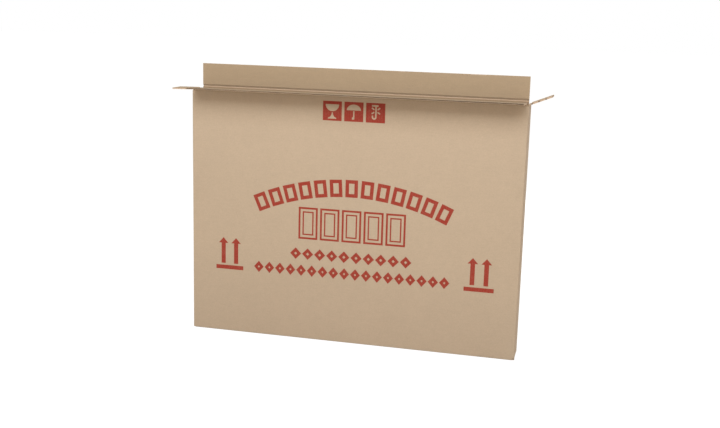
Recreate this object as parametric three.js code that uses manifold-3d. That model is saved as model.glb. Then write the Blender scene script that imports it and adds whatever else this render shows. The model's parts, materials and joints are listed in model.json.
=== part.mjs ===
import * as THREE from 'three';
import { mergeVertices } from 'three/addons/utils/BufferGeometryUtils.js';
import Module from 'manifold-3d';

// A tall, narrow full-overlap carton for one framed picture or mirror, folded from a single
// sheet of corrugated board. The bottom is glued shut and the four top flaps stand open.
// Millimetres, +Z up, origin at the middle of the base, wide front panel facing -Y.

// Outside of the carton
const panelLength = 1040;
const panelDepth = 75;
const creaseHeight = 775;
const cornerRadius = 4.5;

// Corrugated board
const boardThickness = 4;
const linerThickness = 0.45;
const mediumThickness = 0.4;
const flutePitch = 7.9;
const fluteEdge = 0.6;

// Flaps, the slots between them and the pressed creases that they turn on
const flapLength = 70;
const slotInset = 7;
const slotOvershoot = 3;
const layerGap = 0.3;
const crushedThickness = 1;
const crushReach = 5;
const creaseGap = 0.3;
const bendRadius = 4.5;
const innerBendRadius = 0.6;

// Glued joint strip, inside the left end panel
const lapWidth = 35;
const lapRelief = 12;
const lapTaper = 6;

// How far each top flap leans out from upright, in degrees
const frontLean = 88;
const backLean = 0;
const leftLean = 91;
const rightLean = 68;

const noseRadius = crushedThickness / 2;
const tipHalfWidth = 0.2;
const tipBevel = 0.5;
const creaseDrop = noseRadius + creaseGap;
const majorFlapWidth = panelLength - 2 * slotInset;
const endFlapWidth = panelDepth - 2 * slotInset;
const layerStep = boardThickness + layerGap;
const frontCrease = creaseHeight;
const backCrease = frontCrease + layerStep;
const endCrease = frontCrease - layerStep;
const innerLength = panelLength - 2 * boardThickness;
const innerDepth = panelDepth - 2 * boardThickness;
const bottomFlapReach = noseRadius + flapLength;
const frontFloor = 0;
const backFloor = boardThickness;
const endFloor = 2 * boardThickness;
const foldLeg = 20;
const clear = 10;
const cornerSteps = 6;
const bendSteps = 5;

const wasm = await Module();
wasm.setup();

// Geometry to solid and back, for the cuts and joins

function toSolid(geometry) {
  const bare = geometry.clone();
  bare.deleteAttribute('normal');
  bare.deleteAttribute('uv');
  const merged = mergeVertices(bare, 1e-4);
  return new wasm.Manifold(new wasm.Mesh({
    numProp: 3,
    vertProperties: new Float32Array(merged.attributes.position.array),
    triVerts: new Uint32Array(merged.index.array),
  }));
}

function toGeometry(solid) {
  const mesh = solid.getMesh();
  const geometry = new THREE.BufferGeometry();
  geometry.setAttribute('position', new THREE.BufferAttribute(mesh.vertProperties, 3));
  geometry.setIndex(new THREE.BufferAttribute(mesh.triVerts, 1));
  geometry.computeVertexNormals();
  return geometry;
}

function extrude(shape, depth, steps) {
  return new THREE.ExtrudeGeometry(shape, { depth, bevelEnabled: false, curveSegments: steps });
}

// A section drawn in Y and Z, carried along X and centred on X = 0
function barAlongX(section, width, steps = bendSteps) {
  const toX = new THREE.Matrix4().makeBasis(
    new THREE.Vector3(0, 1, 0), new THREE.Vector3(0, 0, 1), new THREE.Vector3(1, 0, 0));
  return extrude(section, width, steps).applyMatrix4(toX).translate(-width / 2, 0, 0);
}

function block(x, y, z) {
  const [sizeX, sizeY, sizeZ] = [x, y, z].map(([low, high]) => high - low);
  const [midX, midY, midZ] = [x, y, z].map(([low, high]) => (low + high) / 2);
  return toSolid(new THREE.BoxGeometry(sizeX, sizeY, sizeZ).translate(midX, midY, midZ));
}

function polygon(points) {
  return new THREE.Shape(points.map(([x, y]) => new THREE.Vector2(x, y)));
}

// The four sides. Each is drawn as if it were the front, with its outer face on y = 0 and
// the carton's inside towards +Y, then turned about Z and moved out to its panel.
const sides = {
  front: { turn: 0, out: panelDepth / 2, width: majorFlapWidth, crease: frontCrease,
    floor: frontFloor },
  back: { turn: Math.PI, out: panelDepth / 2, width: majorFlapWidth, crease: backCrease,
    floor: backFloor },
  left: { turn: -Math.PI / 2, out: panelLength / 2, width: endFlapWidth, crease: endCrease,
    floor: endFloor },
  right: { turn: Math.PI / 2, out: panelLength / 2, width: endFlapWidth, crease: endCrease,
    floor: endFloor },
};

function ontoSide(geometry, side) {
  return toSolid(geometry.clone().translate(0, -side.out, 0).rotateZ(side.turn));
}

// The panels: a ring with rounded corner creases, stepped to each panel's own creases

function roundedOutline(Outline, length, depth, radius) {
  const [x, y] = [length / 2 - radius, depth / 2 - radius];
  const quarter = Math.PI / 2;
  return new Outline()
    .absarc(x, y, radius, 0, quarter)
    .absarc(-x, y, radius, quarter, 2 * quarter)
    .absarc(-x, -y, radius, 2 * quarter, 3 * quarter)
    .absarc(x, -y, radius, 3 * quarter, 4 * quarter)
    .closePath();
}

function panelRing() {
  const outline = roundedOutline(THREE.Shape, panelLength, panelDepth, cornerRadius);
  outline.holes.push(roundedOutline(THREE.Path, innerLength, innerDepth, innerBendRadius));
  const low = frontFloor + boardThickness / 2;
  const high = backCrease - creaseDrop;
  const ring = toSolid(extrude(outline, high - low, cornerSteps).translate(0, 0, low));
  const acrossAll = [-panelLength / 2 - clear, panelLength / 2 + clear];
  const behindFront = [-innerDepth / 2, panelDepth / 2 + clear];
  const betweenWides = [-innerDepth / 2, innerDepth / 2];
  const frontWall = [-panelDepth / 2 - clear, -innerDepth / 2];
  return ring
    .subtract(block(acrossAll, behindFront, [low - clear, backFloor + boardThickness / 2]))
    .subtract(block(acrossAll, betweenWides, [low - clear, endFloor + boardThickness / 2]))
    .subtract(block(acrossAll, frontWall, [frontCrease - creaseDrop, high + clear]))
    .subtract(block(acrossAll, betweenWides, [endCrease - creaseDrop, high + clear]));
}

// The slots that part neighbouring flaps run a little way past the creases, so that they
// take the top off each corner.
function cutSlots(ring) {
  const ends = (size) => [
    [-size / 2 - clear, slotInset - size / 2],
    [size / 2 - slotInset, size / 2 + clear],
  ];
  let slotted = ring;
  for (const across of ends(panelLength)) {
    for (const through of ends(panelDepth)) {
      const upright = [endCrease - slotOvershoot, backCrease + clear];
      slotted = slotted.subtract(block(across, through, upright));
    }
  }
  return slotted;
}

// What the pressed crease takes off the top of a panel: the board thins towards its outer
// liner, so that the flap can turn either way about a line just inside the outer face.
function creaseCut(side) {
  const tip = side.crease - creaseDrop;
  const outer = noseRadius;
  const section = polygon([
    [-clear, tip - tipBevel],
    [0, tip - tipBevel],
    [outer - tipHalfWidth, tip],
    [outer + tipHalfWidth, tip],
    [crushedThickness, tip - tipBevel],
    [boardThickness, side.crease - crushReach],
    [boardThickness + clear / 2, side.crease - crushReach],
    [boardThickness + clear / 2, side.crease + clear],
    [-clear, side.crease + clear],
  ]);
  return ontoSide(barAlongX(section, side.width), side);
}

// A bottom flap folded under its panel: a short upright leg, the bend and the flap
function bottomFlap(side) {
  const low = side.floor;
  const high = low + boardThickness;
  const section = new THREE.Shape()
    .moveTo(0, low + foldLeg)
    .lineTo(0, low + bendRadius)
    .absarc(bendRadius, low + bendRadius, bendRadius, Math.PI, 1.5 * Math.PI)
    .lineTo(bottomFlapReach, low)
    .lineTo(bottomFlapReach, high)
    .lineTo(boardThickness + innerBendRadius, high)
    .absarc(boardThickness + innerBendRadius, high + innerBendRadius, innerBendRadius,
      1.5 * Math.PI, Math.PI, true)
    .lineTo(boardThickness, low + foldLeg)
    .closePath();
  return ontoSide(barAlongX(section, side.width), side);
}

// The joint strip carries on from the back panel and is glued inside the left end panel
function jointLap() {
  const low = endFloor + boardThickness + lapRelief;
  const high = endCrease - lapRelief;
  const root = innerDepth / 2;
  const section = polygon([
    [root, low],
    [root, high],
    [root - lapWidth, high - lapTaper],
    [root - lapWidth, low + lapTaper],
  ].reverse());
  const strip = barAlongX(section, boardThickness);
  return toSolid(strip.translate(-innerLength / 2 + boardThickness / 2, 0, 0));
}

function cartonBody() {
  let body = cutSlots(panelRing()).add(jointLap());
  for (const side of Object.values(sides)) {
    body = body.subtract(creaseCut(side)).add(bottomFlap(side));
  }
  return toGeometry(body);
}

// Top flaps, drawn upright with the turning line on the X axis and the outer face to -Y

function flapSheet(width) {
  const innerFace = boardThickness - noseRadius;
  const section = new THREE.Shape()
    .moveTo(-noseRadius, 0)
    .absarc(0, 0, noseRadius, Math.PI, 2 * Math.PI)
    .lineTo(innerFace, crushReach)
    .lineTo(innerFace, flapLength)
    .lineTo(-noseRadius, flapLength)
    .closePath();
  return toSolid(barAlongX(section, width));
}

// Height of the medium's underside above the middle of the board, at a share of one pitch
// from a crest: a cosine wave, less half the medium measured square to its slope.
function waveUnderside(share) {
  const height = boardThickness / 2 - linerThickness - mediumThickness / 2;
  const turn = 2 * Math.PI * share;
  const slope = -height * Math.sin(turn) * 2 * Math.PI / flutePitch;
  return height * Math.cos(turn) - mediumThickness / 2 * Math.hypot(1, slope);
}

// The open space under one crest of the medium, closed by the liner
function fluteSection(centre, side) {
  const foot = 0.45;
  const linerFace = boardThickness / 2 - linerThickness;
  const points = [[-foot, -linerFace]];
  points.push([foot, -linerFace]);
  for (const share of [0.15, 0, -0.15]) {
    points.push([share, waveUnderside(share)]);
  }
  const middle = boardThickness / 2 - noseRadius;
  return polygon(points.map(([share, y]) =>
    [centre + side * share * flutePitch, middle + side * y]));
}

// Every flute of one flap, open at its free edge and closed where the crease is pressed
function fluteTunnels(width) {
  const low = crushReach + boardThickness / 2;
  const halfPitch = flutePitch / 2;
  const count = Math.floor((width - 2 * fluteEdge - flutePitch) / halfPitch) + 1;
  const first = -(count - 1) / 2 * halfPitch;
  const sections = Array.from({ length: count }, (_, i) =>
    fluteSection(first + i * halfPitch, i % 2 ? -1 : 1));
  const tunnels = extrude(sections, flapLength + 1 - low, 1).translate(0, 0, low);
  return toSolid(tunnels);
}

function board(color) {
  return new THREE.MeshStandardMaterial({ color, roughness: 0.9, metalness: 0, flatShading: true });
}

function flap(name, side, lean) {
  const sheet = flapSheet(side.width).subtract(fluteTunnels(side.width));
  const mesh = new THREE.Mesh(toGeometry(sheet), board(0xb89a78));
  mesh.name = name;
  mesh.rotation.x = THREE.MathUtils.degToRad(lean);
  mesh.position.set(0, noseRadius - side.out, side.crease);
  const turned = new THREE.Group();
  turned.rotation.z = side.turn;
  turned.add(mesh);
  return turned;
}

const carton = new THREE.Group();
const body = new THREE.Mesh(cartonBody(), board(0xc6a47c));
body.name = 'carton_body';
carton.add(body);
carton.add(flap('front_flap', sides.front, frontLean));
carton.add(flap('back_flap', sides.back, backLean));
carton.add(flap('left_end_flap', sides.left, leftLean));
carton.add(flap('right_end_flap', sides.right, rightLean));

export default carton;
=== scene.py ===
import json
import bmesh
import bpy
import numpy as np
from math import asin, cos, pi, radians, sin, sqrt, tan
from mathutils import Matrix, Vector


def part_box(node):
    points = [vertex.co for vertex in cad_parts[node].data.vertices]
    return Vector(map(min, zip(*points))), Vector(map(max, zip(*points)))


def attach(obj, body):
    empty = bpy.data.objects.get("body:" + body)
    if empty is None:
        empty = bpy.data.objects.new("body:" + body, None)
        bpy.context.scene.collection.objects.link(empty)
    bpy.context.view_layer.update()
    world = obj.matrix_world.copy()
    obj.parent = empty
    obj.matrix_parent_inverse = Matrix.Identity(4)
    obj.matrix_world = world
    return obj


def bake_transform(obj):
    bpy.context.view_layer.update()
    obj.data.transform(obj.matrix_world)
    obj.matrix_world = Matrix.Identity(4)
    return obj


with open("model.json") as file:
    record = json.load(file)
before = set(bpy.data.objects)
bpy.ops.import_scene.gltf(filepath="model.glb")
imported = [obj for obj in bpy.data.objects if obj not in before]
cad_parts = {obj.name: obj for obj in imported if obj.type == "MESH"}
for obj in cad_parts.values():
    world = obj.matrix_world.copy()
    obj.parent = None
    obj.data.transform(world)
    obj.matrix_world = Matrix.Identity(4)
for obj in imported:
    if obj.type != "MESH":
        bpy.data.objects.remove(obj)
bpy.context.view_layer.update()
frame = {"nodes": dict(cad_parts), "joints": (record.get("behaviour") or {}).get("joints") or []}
nodes = frame["nodes"]
print("frame loaded:", ", ".join(sorted(nodes)))

mm = 0.001

# sizes and creases read from the frame, in metres
bodyLow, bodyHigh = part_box("carton_body")
halfLength, halfDepth = bodyHigh.x, bodyHigh.y
frontFace = bodyLow.y
creases = {joint["child"]: joint for joint in frame["joints"]}

# the board as the solids have it
board = {
    "thickness": 4 * mm,
    "liner": 0.45 * mm,
    "flapLength": 70 * mm,
    "crushed": 0.5 * mm,  # from the turning line to the outer face
    "crushReach": 5 * mm,
    "pitch": 7.9 * mm,
    "furthestOut": 120,  # degrees from upright, where a flap's range ends
}


# Shader maths: wraps a socket, and each operator adds one Math node
class Wire:
    tree = None

    def __init__(self, socket):
        self.socket = socket

    # a new node with these settings and inputs, wrapped at one of its outputs
    @classmethod
    def node(cls, kind, settings=None, inputs=None, output=0):
        made = cls.tree.nodes.new(kind)
        for key, value in (settings or {}).items():
            setattr(made, key, value)
        for key, value in (inputs or {}).items():
            if isinstance(value, Wire):
                cls.tree.links.new(value.socket, made.inputs[key])
            else:
                made.inputs[key].default_value = value
        return cls(made.outputs[output])

    def math(self, operation, *others, clamp=False):
        inputs = {i: value for i, value in enumerate((self, *others))}
        return Wire.node("ShaderNodeMath", {"operation": operation, "use_clamp": clamp}, inputs)

    def __add__(self, other):
        return self.math("ADD", other)

    def __sub__(self, other):
        return self.math("SUBTRACT", other)

    def __mul__(self, other):
        return self.math("MULTIPLY", other)

    def __truediv__(self, other):
        return self.math("DIVIDE", other)

    __radd__ = __add__
    __rmul__ = __mul__

    def __rsub__(self, other):
        return Wire.node("ShaderNodeMath", {"operation": "SUBTRACT"}, {0: other, 1: self})

    def size(self):
        return self.math("ABSOLUTE")

    # 0 below the edge and 1 above it, ramping over the width
    def above(self, edge, width):
        return ((self - edge) / width + 0.5).math("ADD", 0.0, clamp=True)

    # 1 at the middle, falling to 0 at the reach on both sides
    def near(self, middle, reach):
        return (1 - (self - middle).size() / reach).math("MAXIMUM", 0.0)


# object coordinates, which are output 3, times the scale, plus the place
def objectPoint(scale=(1, 1, 1), place=(0, 0, 0)):
    point = Wire.node("ShaderNodeTexCoord", output=3)
    return Wire.node("ShaderNodeMapping", {}, {"Vector": point, "Location": place, "Scale": scale})


# one coordinate of a point: 0 for x, 1 for y, 2 for z
def axisOf(point, index):
    return Wire.node("ShaderNodeSeparateXYZ", {}, {"Vector": point}, index)


# cloudy noise about a middle of 0.5, with features about 1 / scale metres across
def noise(point, scale, detail=3.0, rough=0.55):
    return Wire.node("ShaderNodeTexNoise", {}, {
        "Vector": point, "Scale": scale, "Detail": detail, "Roughness": rough})


# First colour at factor 0, second at factor 1. The Mix node's colour inputs are 6 and 7, and
# its colour output is 2.
def mixColour(factor, first, second, blend="MIX"):
    ends = {0: factor}
    for key, value in ((6, first), (7, second)):
        ends[key] = value if isinstance(value, Wire) else (*value, 1)
    return Wire.node("ShaderNodeMix", {"data_type": "RGBA", "blend_type": blend}, ends, 2)


# colour times a grey factor
def shade(colour, factor):
    grey = Wire.node("ShaderNodeCombineColor", {}, {0: factor, 1: factor, 2: factor})
    return mixColour(1.0, colour, grey, "MULTIPLY")


# colour times one of the kraft tints
def tinted(colour, tint="pressedAndShaded"):
    return mixColour(1.0, colour, kraft[tint], "MULTIPLY")


# a new material and its shader; the wires made next go into its tree
def newMaterial(name):
    material = bpy.data.materials.new(name)
    material.use_nodes = True
    Wire.tree = material.node_tree
    return material, material.node_tree.nodes["Principled BSDF"]


# links a wire to a shader's socket, or sets the socket to a constant
def feed(shader, name, value):
    if isinstance(value, Wire):
        Wire.tree.links.new(value.socket, shader.inputs[name])
    else:
        shader.inputs[name].default_value = value


# a new object in the scene that shows a mesh, curve, lamp or camera
def newPiece(name, data):
    piece = bpy.data.objects.new(name, data)
    bpy.context.scene.collection.objects.link(piece)
    return piece


# Kraft board: colours of its faces, then tints, which are painted shade, the first also pressed
# board, then the paper's formation
kraft = {
    "outer": (0.572, 0.438, 0.300),
    "inner": (0.475, 0.352, 0.222),
    "cut": (0.62, 0.45, 0.305),
    # flute walls painted paler than the board, a painted light that lifts the shade inside the open
    # flutes
    "fluteWallPaintedLight": (0.84, 0.67, 0.47),
    "rubbed": (0.66, 0.53, 0.385),
    "torn": (0.66, 0.52, 0.375),
    # the next three tints are painted shade: under the front crease, where the board is also
    # pressed, inside the opening, and on the front panel deepening towards the foot
    "pressedAndShaded": (0.90, 0.87, 0.83),  # how much of its colour a pressed crease keeps
    "mouthShade": (0.74, 0.69, 0.68),  # and the inner liner round the opening
    "footShade": (0.93, 0.935, 0.95),  # and the outer liner at the bottom edge
    "cloudScale": 7.0,
    "cloudDepth": 0.03,
    "patchScale": 55.0,
    "patchDepth": 0.035,
    "speckScale": 240.0,
    "speckDepth": 0.09,
    "fibreScale": 384.0,
    "fibreStretch": 0.12,
    "fibreDepth": 0.05,
    "washboard": 0.016 * mm,
    "grain": 0.03 * mm,
    "roughness": 0.88,
    "specular": 0.22,
    "soft": 0.2 * mm,  # over how much one liner gives way to the other
}


# Colour times 1 plus four noises about zero, each by its depth: clouds, patches, specks and
# short upright fibres. Height for the bump is the fine grain plus the wave of the flutes.
def paper(colour, seed, wave):
    shift = (seed, seed * 0.7, seed * 1.3)  # each seed has its own stretch of noise
    stretch = kraft["fibreStretch"]
    point = objectPoint(place=shift)
    along = objectPoint((stretch, stretch, 1), shift)
    cloud = noise(point, kraft["cloudScale"], 4) - 0.5
    patch = noise(point, kraft["patchScale"], 2) - 0.5
    speck = noise(point, kraft["speckScale"], 2, 0.6) - 0.5
    fibre = noise(along, kraft["fibreScale"], 3, 0.7) - 0.5
    tone = (1 + cloud * (2 * kraft["cloudDepth"]) + patch * (2 * kraft["patchDepth"])
            + speck * (2 * kraft["speckDepth"]) + fibre * (2 * kraft["fibreDepth"]))
    height = (speck + fibre) * kraft["grain"] + wave * kraft["washboard"]
    return shade(colour, tone), height


# cosine of the distance, one wave for each flute
def fluteWave(distance):
    return (distance * (2 * pi / board["pitch"])).math("COSINE")


# matt board with the colour, and a bump by the height in metres
def finishBoard(shader, colour, height):
    bump = Wire.node("ShaderNodeBump", {}, {"Height": height, "Distance": 1.0, "Strength": 1.0})
    feed(shader, "Base Color", colour)
    feed(shader, "Roughness", kraft["roughness"])
    feed(shader, "Specular IOR Level", kraft["specular"])
    feed(shader, "Normal", bump)


# the body's wear and painted shade: depths from an edge, and how strongly the colour changes
wearAndShade = {
    "seed": 3.1,
    "cornerReach": 5 * mm,
    "cornerRub": 0.35,
    "rubScale": 60,
    "rubStretch": 0.35,
    "rubCover": (0.5, 0.25),
    # painted shade: the band under the front crease, which is also pressed board, and the inside of
    # the opening
    "pressedShadeBand": 7 * mm,
    "mouthShadeDepth": 9 * mm,
    "mouthShadeSoft": 4 * mm,
    # painted shade on the lower front, deepening towards the foot
    "footShadeHeight": 300 * mm,
    "bottomReach": 7 * mm,
    "bottomDirt": 0.10,
    # painted shade: a dark spot low on the front's right corner, for the shaded corner slot
    "cornerShadeSpotPlace": (halfLength - 3 * mm, frontFace, 5 * mm),
    "cornerShadeSpotSize": 6 * mm,
    "cornerShadeSpotDepth": 0.45,
    "endFace": (4.8 * mm, 0.5 * mm),  # how deep an end panel's ribs reach, and how softly
}


# Inner liner where a point is over half a board in from the ends, the faces and the floor, and
# outer liner elsewhere. Upright corners take rubs by noise over a threshold. By height come the
# band under the front crease, pressed board with painted shade, painted shade inside the opening,
# painted shade that deepens linearly to the foot, and dirt that rises linearly to the foot. A dark
# spot of painted shade, three distance ramps multiplied, sits low on the front's right corner.
def bodyMaterial():
    material, shader = newMaterial("kraft_printed_board")
    point = objectPoint()
    x, y, z = [axisOf(point, i) for i in range(3)]
    fromEnd, fromFace = halfLength - x.size(), halfDepth - y.size()
    middle, soft = board["thickness"] / 2, kraft["soft"]
    inside = (fromEnd.above(middle, soft) * fromFace.above(middle, soft)
              * z.above(board["thickness"] + middle, soft))
    colour = mixColour(inside, kraft["outer"], kraft["inner"])

    reach = wearAndShade["cornerReach"]
    corner = fromEnd.near(0, reach) * fromFace.near(0, reach)
    rubs = noise(objectPoint((1, 1, wearAndShade["rubStretch"])), wearAndShade["rubScale"], 3, 0.6)
    rubbed = corner * rubs.above(*wearAndShade["rubCover"]) * wearAndShade["cornerRub"]
    colour = mixColour(rubbed, colour, kraft["rubbed"])

    top = creases["front_flap"]["pos_m"][2]
    outside = 1 - y.above(frontFace + middle, soft)
    # pressed board and painted shade: a darker band on the front panel's outer face right under the
    # front crease, where the flap's shadow falls
    pressedAndShaded = z.above(top - wearAndShade["pressedShadeBand"], board["crushReach"]) * outside
    colour = mixColour(pressedAndShaded, colour, tinted(colour))
    # painted shade, with some creasing: the inner liner darker round the opening
    mouthShade = inside * z.above(top - wearAndShade["mouthShadeDepth"], wearAndShade["mouthShadeSoft"])
    colour = mixColour(mouthShade, colour, tinted(colour, "mouthShade"))
    # painted shade: darker and slightly cooler towards the foot, over the lower 300 mm
    colour = mixColour(z.near(0, wearAndShade["footShadeHeight"]), colour, tinted(colour, "footShade"))
    dirt = z.near(0, wearAndShade["bottomReach"]) * wearAndShade["bottomDirt"]
    # painted shade: a dark spot low on the front's right corner, three distance ramps multiplied
    cornerShadeSpot = wearAndShade["cornerShadeSpotDepth"]
    for distance, place in zip((x, y, z), wearAndShade["cornerShadeSpotPlace"]):
        cornerShadeSpot = distance.near(place, wearAndShade["cornerShadeSpotSize"]) * cornerShadeSpot
    colour = shade(colour, 1 - dirt - cornerShadeSpot)

    onEnd = 1 - fromEnd.above(*wearAndShade["endFace"])
    wave, endWave = fluteWave(x), fluteWave(y)
    colour, height = paper(colour, wearAndShade["seed"], wave + (endWave - wave) * onEnd)
    finishBoard(shader, colour, height)
    return material


# angle that a flap leans out from upright at rest, in radians
def leanOf(name):
    return radians(board["furthestOut"] - creases[name]["range_deg"][1])


# Unit vectors of a flap at rest: along its crease, out to the free edge, to its inner face.
# Upright, these are the hinge, +Z and Z x hinge; the lean turns the last two about the hinge.
def flapDirections(name):
    hinge = Vector(creases[name]["axis"]).normalized()
    turn = Matrix.Rotation(leanOf(name), 3, hinge)
    upright = Vector((0, 0, 1))
    return hinge, turn @ upright, turn @ upright.cross(hinge)


# half of a flap's length along its crease
def halfWidthOf(name):
    low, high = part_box(name)
    return abs((high - low).dot(Vector(creases[name]["axis"]).normalized())) / 2


# each flap's seed, how much painted shade darkens its inner liner, and how streaky from handling
flaps = {
    "front_flap": (1.7, 0.16, 0.18),
    "back_flap": (4.0, 0.0, 0.08),
    "left_end_flap": (6.3, 0.05, 0.10),
    "right_end_flap": (8.6, 0.05, 0.10),
}
flapWearAndShade = {
    "thin": 0.1 * mm,  # depth of a cut edge's colour, and of the ramps between layers
    "linerShare": 0.8,  # of the liner's thickness, where the flutes' colour begins
    # near the crease: painted shade on the outer liner and painted light on the inner liner
    "pressedShadeShare": 0.5,
    "pressedShadeTo": 4 * mm,
    "streakScale": 60,
    "streakStretch": 0.12,
    "tornScale": 26,
    "tornStretch": 0.2,
    "tornCover": (0.6, 0.06),
    "tornReach": 2.2 * mm,
    "tornSoft": 1 * mm,
    "tornShare": 0.8,
}
# painted shade: dark spots along the front edge of the right end flap, standing in for shaded flute
# openings
edgeHoleShade = {
    "flap": "right_end_flap",
    "spacing": 21 * mm,
    "first": 8 * mm,
    "reach": 3.2 * mm,
    "sharpness": 1.6,
    "inFromEdge": 0.8 * mm,
    "soft": 0.6 * mm,
    "depth": 0.62,
}


# Dark spots of painted shade along the length at equal spacing, only beside the edge where width is
# lowest
def holeShadeMask(length, width, halfWidth):
    beat = (length - edgeHoleShade["first"]) / edgeHoleShade["spacing"]
    beat = (beat + 0.5).math("FRACT") - 0.5
    holeShadeSpot = (beat * edgeHoleShade["spacing"]).near(0, edgeHoleShade["reach"])
    holeShadeSpot = (holeShadeSpot * edgeHoleShade["sharpness"]).math("MINIMUM", 1.0)
    beside = 1 - width.above(edgeHoleShade["inFromEdge"] - halfWidth, edgeHoleShade["soft"])
    return holeShadeSpot * beside * edgeHoleShade["depth"]


# Length, depth and width are a point's distances from the crease along the flap's directions,
# as dot products, which are output 1. By depth: outer liner, flute walls painted paler as painted
# light, inner liner. By length: pressed board, with painted shade on the outer liner and, as
# painted light, the outer liner's paler colour on the inner liner; then torn patches by noise over
# a threshold, and the cut tip. By width: the cut side edges. Painted shade darkens the inner liner
# and stretched noise streaks it, and one flap has dark spots of painted shade along an edge.
def flapMaterial(name):
    material, shader = newMaterial(f"kraft_{name}")
    seed, innerShade, streaky = flaps[name]
    hinge, reach, inward = flapDirections(name)
    ends = {0: Wire.node("ShaderNodeTexCoord", output=3), 1: creases[name]["pos_m"]}
    offset = Wire.node("ShaderNodeVectorMath", {"operation": "SUBTRACT"}, ends)
    length, depth, width = [
        Wire.node("ShaderNodeVectorMath", {"operation": "DOT_PRODUCT"}, {0: offset, 1: way}, 1)
        for way in (reach, inward, hinge)]
    halfWidth, thin = halfWidthOf(name), flapWearAndShade["thin"]
    outerFace, innerFace = -board["crushed"], board["thickness"] - board["crushed"]

    side = depth.above((outerFace + innerFace) / 2, kraft["soft"])
    colour = mixColour(side, kraft["outer"], kraft["inner"])
    liner = board["liner"] * flapWearAndShade["linerShare"]
    # the open flutes' walls, painted paler as painted light against the shade inside the flutes
    core = (depth.above(outerFace + liner, thin) * (1 - depth.above(innerFace - liner, thin))
            * length.above(board["crushReach"], thin))
    colour = mixColour(core, colour, kraft["fluteWallPaintedLight"])
    tip = length.above(board["flapLength"] - thin, thin)
    sideEdge = width.size().above(halfWidth - thin, thin)
    colour = mixColour((tip + sideEdge).math("MINIMUM", 1.0), colour, kraft["cut"])

    torn = noise(objectPoint((1, 1, flapWearAndShade["tornStretch"])), flapWearAndShade["tornScale"], 3, 0.65)
    byTip = length.above(board["flapLength"] - flapWearAndShade["tornReach"], flapWearAndShade["tornSoft"])
    torn = torn.above(*flapWearAndShade["tornCover"]) * byTip * flapWearAndShade["tornShare"]
    colour = mixColour(torn, colour, kraft["torn"])
    # near the crease: pressed board with painted shade on the outer liner; the inner liner there
    # takes the paler outer colour as painted light
    pressedAndShaded = 1 - length.above(flapWearAndShade["pressedShadeTo"], board["crushReach"])
    pressedShadeOut = pressedAndShaded * flapWearAndShade["pressedShadeShare"] * (1 - side)
    colour = mixColour(pressedShadeOut, colour, tinted(colour))
    colour = mixColour(pressedAndShaded * side, colour, kraft["outer"])

    longWays = [flapWearAndShade["streakStretch"] if abs(part) > 0.5 else 1 for part in hinge]
    streak = noise(objectPoint(longWays), flapWearAndShade["streakScale"], 4, 0.6) - 0.5
    # painted shade darkens the inner liner, and stretched noise streaks it
    tone = 1 - side * innerShade + side * streak * streaky
    # painted shade: dark spots along one edge of one flap
    if name == edgeHoleShade["flap"]:
        tone = tone - holeShadeMask(length, width, halfWidth)
    colour, height = paper(shade(colour, tone), seed, fluteWave(width))
    finishBoard(shader, colour, height)
    return material


# gives a piece this one material
def dress(piece, material):
    piece.data.materials.clear()
    piece.data.materials.append(material)


dress(nodes["carton_body"], bodyMaterial())
flapFinish = {name: flapMaterial(name) for name in flaps}
for name, material in flapFinish.items():
    dress(nodes[name], material)
print("board materials done")


# The outer liner runs on unbroken over each crease
bend = {
    "flat": 3.5 * mm,  # how far it lies on each side, from the turning line
    "radius": 1.5 * mm,
    "proud": 0.05 * mm,
    "thickness": 0.3 * mm,
    "steps": 12,
}


# Profile across a crease, as inward and upward distances from the turning line. It runs up the
# panel's outer face, through a parabola that touches both faces, and out along the flap's face,
# which is the upright face turned by the lean. The parabola's control point is where they meet.
def linerProfile(lean, offset):
    face, reach = board["crushed"] + offset, bend["radius"]
    share = np.linspace(0, 1, bend["steps"])[:, None]
    turned = np.array([(cos(lean), -sin(lean)), (sin(lean), cos(lean))])
    panel = np.array([(-face, -bend["flat"]), (-face, -reach)])
    flap = np.array([(-face, reach), (-face, bend["flat"])]) @ turned
    meeting = np.array((-face, -face * tan(lean / 2)))
    curve = ((1 - share) ** 2 * panel[1] + 2 * share * (1 - share) * meeting
             + share ** 2 * flap[0])
    return np.concatenate([panel[:1], curve, flap[1:]])


# A closed strip: the outer profile and, a thickness in, the inner one back, carried straight
# along the hinge from one end of the flap to the other.
def linerPiece(name):
    hinge = np.array(flapDirections(name)[0])
    upward = np.array((0, 0, 1))
    outer = linerProfile(leanOf(name), bend["proud"])
    inner = linerProfile(leanOf(name), bend["proud"] - bend["thickness"])
    loop = np.concatenate([outer, inner[::-1]])
    flat = (np.array(creases[name]["pos_m"]) + loop[:, :1] * np.cross(upward, hinge)
            + loop[:, 1:] * upward)
    ends = [flat - hinge * halfWidthOf(name), flat + hinge * halfWidthOf(name)]
    count = len(loop)
    walk = np.arange(count)
    after = (walk + 1) % count
    quads = np.stack([walk, walk + count, after + count, after], 1)
    caps = [walk.tolist(), (walk + count)[::-1].tolist()]
    mesh = bpy.data.meshes.new(f"{name}_liner")
    mesh.from_pydata(np.concatenate(ends).tolist(), [], quads.tolist() + caps)
    mesh.update()
    piece = newPiece(f"{name}_crease_liner", mesh)
    dress(piece, flapFinish[name])
    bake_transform(piece)


for name in flaps:
    linerPiece(name)
print("crease liners done")


# Red ink: a skin that thins in specks, clouds and along the flutes
ink = {
    "thickness": 0.12 * mm,
    "colour": (0.37, 0.045, 0.026),
    "thin": 0.02,
    "mottle": 0.40,
    "mottleScale": 520.0,
    "cloud": 0.16,
    "cloudScale": 30.0,
    "ribs": 0.02,
    "roughness": 0.8,
}
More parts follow.
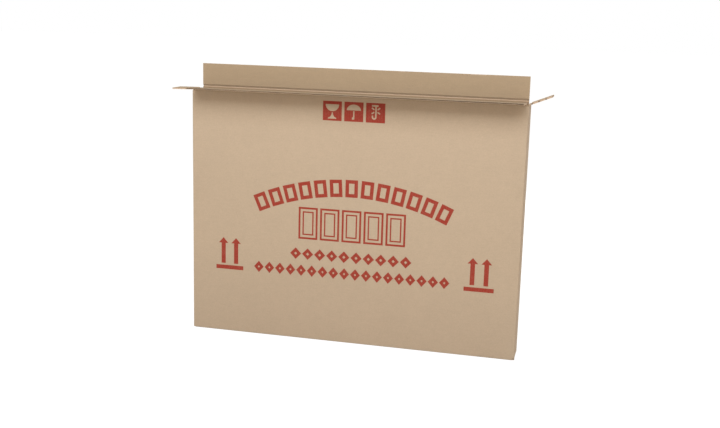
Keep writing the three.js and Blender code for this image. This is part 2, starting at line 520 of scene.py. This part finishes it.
# Print on the front panel, in millimetres across and up from the middle of the base
layout = {
    "arrowBars": [(-394.5, 211.5), (401.5, 211)],
    "barSize": (91, 13),
    "arrowSpread": 42,
    "shaft": (14, 224, 290),  # width, foot and shoulder
    "headSize": (32, 18),
    "squares": [-66.5, 0.5, 67.5],
    "squareSize": 59,
    "squareMiddle": 726.5,
    "archRadius": 707,  # of the circle that the frames stand on
    "archBase": 465,  # the top of that circle
    "archHalfAngle": 23.1,
    "archCount": 13,
    "archFrame": (39, 54, 11),  # width, height and stroke
    "tallFrames": (5, 2, 339, 374, 101, 6, 8),  # count, middle, span, up, height, stroke, gap
    "tallInset": 26,
    "tallInnerStroke": 4.2,
    "rows": [(10, 390, 276, 37, 9.5), (18, 628, 222.5, 37, 9.5)],  # count, span, up, height, stroke
    "rowGap": 3,
}


# four corners of a box, turned about its middle
def rectangle(middle, size, turn=0.0):
    corners = np.array([(-1, -1), (1, -1), (1, 1), (-1, 1)]) * np.array(size) / 2
    c, s = cos(turn), sin(turn)
    return corners @ np.array([(c, s), (-s, c)]) + np.array(middle)


# a box and a smaller one inside it, a stroke in on every side
def pictureFrame(middle, size, stroke, turn=0.0):
    outer = np.array(size, float)
    return [rectangle(middle, outer, turn), rectangle(middle, outer - 2 * stroke, turn)]


# a hollow lozenge; the inner one is smaller by the stroke measured square to its sides
def lozenge(middle, size, stroke):
    half = np.array(size, float) / 2
    share = 1 - stroke / (half[0] * half[1] / sqrt(half @ half))
    corners = np.array([(-1, 0), (0, -1), (1, 0), (0, 1)]) * half
    return [corners + middle, corners * share + middle]


# points at the radius from the middle, by the angle in degrees; a second radius makes it oval
def arc(middle, radius, start, end, count=24):
    angle = np.radians(np.linspace(start, end, count))
    return np.stack([np.cos(angle), np.sin(angle)], 1) * radius + np.array(middle)


# two upright arrows over a bar
def arrows(bar):
    loops = [rectangle(bar, layout["barSize"])]
    width, low, high = layout["shaft"]
    headWidth, headHeight = layout["headSize"]
    for side in (-1, 1):
        x = bar[0] + side * layout["arrowSpread"] / 2
        half, wing = width / 2, headWidth / 2
        loops.append(np.array([
            (x - half, low), (x + half, low), (x + half, high), (x + wing, high),
            (x, high + headHeight), (x - wing, high), (x - half, high)]))
    return loops


# Half-round bowl over a stem that flares into a foot. This and the next two figures are drawn
# in millimetres from the middle of their square.
def goblet(x, z):
    bowl = arc((x, z + 20), (21, 21), 180, 360)
    flare = arc((14, -4.5), (12.4, 16), 180, 262, 9)
    right = np.concatenate([flare, [(13, -23.5)]])
    left = right[::-1] * (-1, 1)
    return [bowl, np.concatenate([right, left]) + (x, z)]


# low dome over a thin handle with a small crook
def umbrella(x, z):
    dome = arc((x, z + 4.5), (22, 17.5), 0, 180)
    handle = [(-2, 2.5), (-2, -15), (-5.5, -18), (-5.5, -23), (2, -23), (2, 2.5)]
    return [dome, np.array(handle) + (x, z)]


# cargo hook with a cross handle, among four short strokes
def hook(x, z):
    outline = np.concatenate([
        [(-11.5, 23.5), (8.5, 23.5), (8.5, 18.5), (3.25, 18.5)],
        arc((-4, -13), 7.25, 0, -180, 13),
        [(-12, -9.5), (-8.5, -7)],
        arc((-4, -13), 2.75, -180, 0, 9),
        [(-1.25, 18.5), (-11.5, 18.5)],
    ])
    strokes = [rectangle((x + 1 + 11 * cos(a), z + 6 + 11 * sin(a)), (9.5, 4), a)
               for a in np.radians((35, 145, 215, 325))]
    return [outline + (x, z), *strokes]


# Every outline of the print: arrows over bars, figures in squares, an arch of frames standing
# on a circle, a row of double frames, and rows of lozenges
def printLoops():
    loops = []
    for bar in layout["arrowBars"]:
        loops += arrows(bar)
    for x, figure in zip(layout["squares"], (goblet, umbrella, hook)):
        loops.append(rectangle((x, layout["squareMiddle"]), (layout["squareSize"],) * 2))
        loops += figure(x, layout["squareMiddle"])

    width, height, stroke = layout["archFrame"]
    radius = layout["archRadius"] + height / 2
    centre = layout["archBase"] - layout["archRadius"]
    half = radians(layout["archHalfAngle"])
    for turn in np.linspace(-half, half, layout["archCount"]):
        middle = (radius * sin(turn), centre + radius * cos(turn))
        loops += pictureFrame(middle, (width, height), stroke, -turn)

    count, centre, span, up, height, stroke, gap = layout["tallFrames"]
    size = np.array(((span - gap * (count - 1)) / count, height))
    for x in np.linspace(-1, 1, count) * (span - size[0]) / 2 + centre:
        loops += pictureFrame((x, up), size, stroke)
        loops += pictureFrame((x, up), size - layout["tallInset"], layout["tallInnerStroke"])

    for count, span, up, height, stroke in layout["rows"]:
        pitch = span / count
        for x in (np.arange(count) - (count - 1) / 2) * pitch:
            loops += lozenge(np.array((x, up)), (pitch - layout["rowGap"], height), stroke)
    return loops


# Fills closed outlines, the inner ones as holes, as a flat skin of ink, closes its seams and
# stands it upright against the front panel
def printPiece(name, loops):
    curve = bpy.data.curves.new(name, "CURVE")
    curve.dimensions = "2D"
    curve.fill_mode = "BOTH"
    curve.extrude = ink["thickness"] / 2
    for loop in loops:
        spline = curve.splines.new("POLY")
        spline.points.add(len(loop) - 1)
        flat = np.zeros((len(loop), 4))
        flat[:, :2] = np.array(loop) * mm
        flat[:, 3] = 1
        spline.points.foreach_set("co", flat.ravel())
        spline.use_cyclic_u = True
    holder = newPiece(name + "_outline", curve)
    mesh = bpy.data.meshes.new_from_object(holder)
    bpy.data.objects.remove(holder)
    shell = bmesh.new()
    shell.from_mesh(mesh)
    bmesh.ops.remove_doubles(shell, verts=shell.verts, dist=ink["thickness"] / 100)
    shell.to_mesh(mesh)
    shell.free()
    mesh.shade_flat()
    mesh.transform(Matrix.Translation((0, frontFace - ink["thickness"] / 2, 0))
                   @ Matrix.Rotation(pi / 2, 4, "X"))
    return newPiece(name, mesh)


# Matt ink over kraft. The share of kraft that shows is a constant plus specks, clouds and the
# flutes' wave, each by its depth, held between 0 and 1.
def inkMaterial():
    material, shader = newMaterial("red_flexo_ink")
    point = objectPoint()
    speck = noise(point, ink["mottleScale"], 2, 0.6) - 0.5
    cloud = noise(point, ink["cloudScale"], 3) - 0.5
    ribs = fluteWave(axisOf(point, 0)) * ink["ribs"]
    thin = ink["thin"] + speck * ink["mottle"] + cloud * ink["cloud"] + ribs
    colour = mixColour(thin.math("ADD", 0.0, clamp=True), ink["colour"], kraft["outer"])
    feed(shader, "Base Color", colour)
    feed(shader, "Roughness", ink["roughness"])
    feed(shader, "Specular IOR Level", kraft["specular"])
    return material


frontPrint = printPiece("front_print", printLoops())
dress(frontPrint, inkMaterial())
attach(frontPrint, "carton")
print("print done:", len(frontPrint.data.polygons), "faces")


# Floor, light and camera
studio = {
    "floorSize": 60,
    "floorWhite": 0.76,
    "floorRoughness": 0.9,
    "floorSpecular": 0.1,
    "floorLift": 0.7,  # share of the floor that is plain white to the camera
    "floorGlow": 1.3,
    "world": (0.66, 0.36),  # strength at the horizon and overhead
    "worldTint": (1.05, 0.96, 0.86),
}
# Softboxes: power, tint, size, place and the point aimed at
lamps = {
    "front_softbox": (40, (0.965, 1.0, 1.08), (2.8, 1.2), (0.1, -1.6, 2.15), (0.05, 0, 0.9)),
    "rear_softbox": (40, (0.965, 1.0, 1.06), (3.0, 1.6), (0.5, 2.8, 1.0), (0, 0, 0.4)),
}
view = {
    "place": (0.7364, -2.9471, 1.0189),
    "yaw": -13.68,
    "pitch": -11.38,
    "roll": 1.55,
    "lens": 50,
    "sensor": 36,
    "clipEnd": 200,
}


# 1 for camera, glossy and transmission rays
def seenDirectly():
    camera = Wire.node("ShaderNodeLightPath")
    glossy = Wire(camera.socket.node.outputs["Is Glossy Ray"])
    through = Wire(camera.socket.node.outputs["Is Transmission Ray"])
    return (camera + glossy + through).math("MINIMUM", 1.0)


# a plain square: a pale surface, with a share of white glow mixed in where it is seen directly
def makeFloor():
    half = studio["floorSize"] / 2
    corners = [(x * half, y * half, 0) for x, y in ((-1, -1), (1, -1), (1, 1), (-1, 1))]
    mesh = bpy.data.meshes.new("floor")
    mesh.from_pydata(corners, [], [(0, 1, 2, 3)])
    floor = newPiece("floor", mesh)
    material, shader = newMaterial("pale_floor")
    feed(shader, "Base Color", (studio["floorWhite"],) * 3 + (1,))
    feed(shader, "Roughness", studio["floorRoughness"])
    feed(shader, "Specular IOR Level", studio["floorSpecular"])
    glow = Wire.node("ShaderNodeEmission", {}, {
        "Color": (1, 1, 1, 1), "Strength": studio["floorGlow"]})
    mixed = Wire.node("ShaderNodeMixShader", {}, {
        0: seenDirectly() * studio["floorLift"], 1: Wire(shader.outputs[0]), 2: glow})
    surface = material.node_tree.nodes["Material Output"].inputs["Surface"]
    material.node_tree.links.new(mixed.socket, surface)
    mesh.materials.append(material)


# light that changes linearly from the horizon to overhead, and plain white where seen directly
def makeWorld():
    world = bpy.data.worlds.new("studio")
    bpy.context.scene.world = world
    world.use_nodes = True
    Wire.tree = world.node_tree
    background = world.node_tree.nodes["Background"]
    level, overhead = [[c * share for c in studio["worldTint"]] for share in studio["world"]]
    height = axisOf(Wire.node("ShaderNodeTexCoord"), 2).math("MAXIMUM", 0.0)
    colour = mixColour(seenDirectly(), mixColour(height, level, overhead), (1, 1, 1))
    world.node_tree.links.new(colour.socket, background.inputs["Color"])


# a rectangle of light at a place, turned to face the point aimed at
def makeLamp(name, power, tint, size, place, aim):
    light = bpy.data.lights.new(name, "AREA")
    light.shape = "RECTANGLE"
    light.size, light.size_y = size
    light.energy = power
    light.color = tint
    lamp = newPiece(name, light)
    lamp.location = place
    lamp.rotation_euler = (Vector(aim) - lamp.location).to_track_quat("-Z", "Y").to_euler()


# Turned by yaw about +Z from looking along +Y, then pitched, then rolled about its own view
def makeCamera():
    yaw, pitch, roll = (radians(view[k]) for k in ("yaw", "pitch", "roll"))
    forward = Vector((sin(yaw) * cos(pitch), cos(yaw) * cos(pitch), sin(pitch)))
    level = Vector((cos(yaw), -sin(yaw), 0))
    upright = level.cross(forward)
    tilt = asin(sin(roll) / cos(pitch))
    right = level * cos(tilt) + upright * sin(tilt)
    up = upright * cos(tilt) - level * sin(tilt)
    lens = bpy.data.cameras.new("camera")
    lens.sensor_width = view["sensor"]
    lens.lens = view["lens"]
    lens.clip_end = view["clipEnd"]
    camera = newPiece("camera", lens)
    turn = Matrix((right, up, -forward)).transposed().to_4x4()
    camera.matrix_world = Matrix.Translation(view["place"]) @ turn
    bpy.context.scene.camera = camera


makeFloor()
makeWorld()
for name, settings in lamps.items():
    makeLamp(name, *settings)
makeCamera()
bpy.context.scene.view_settings.view_transform = "Standard"
print("studio done")
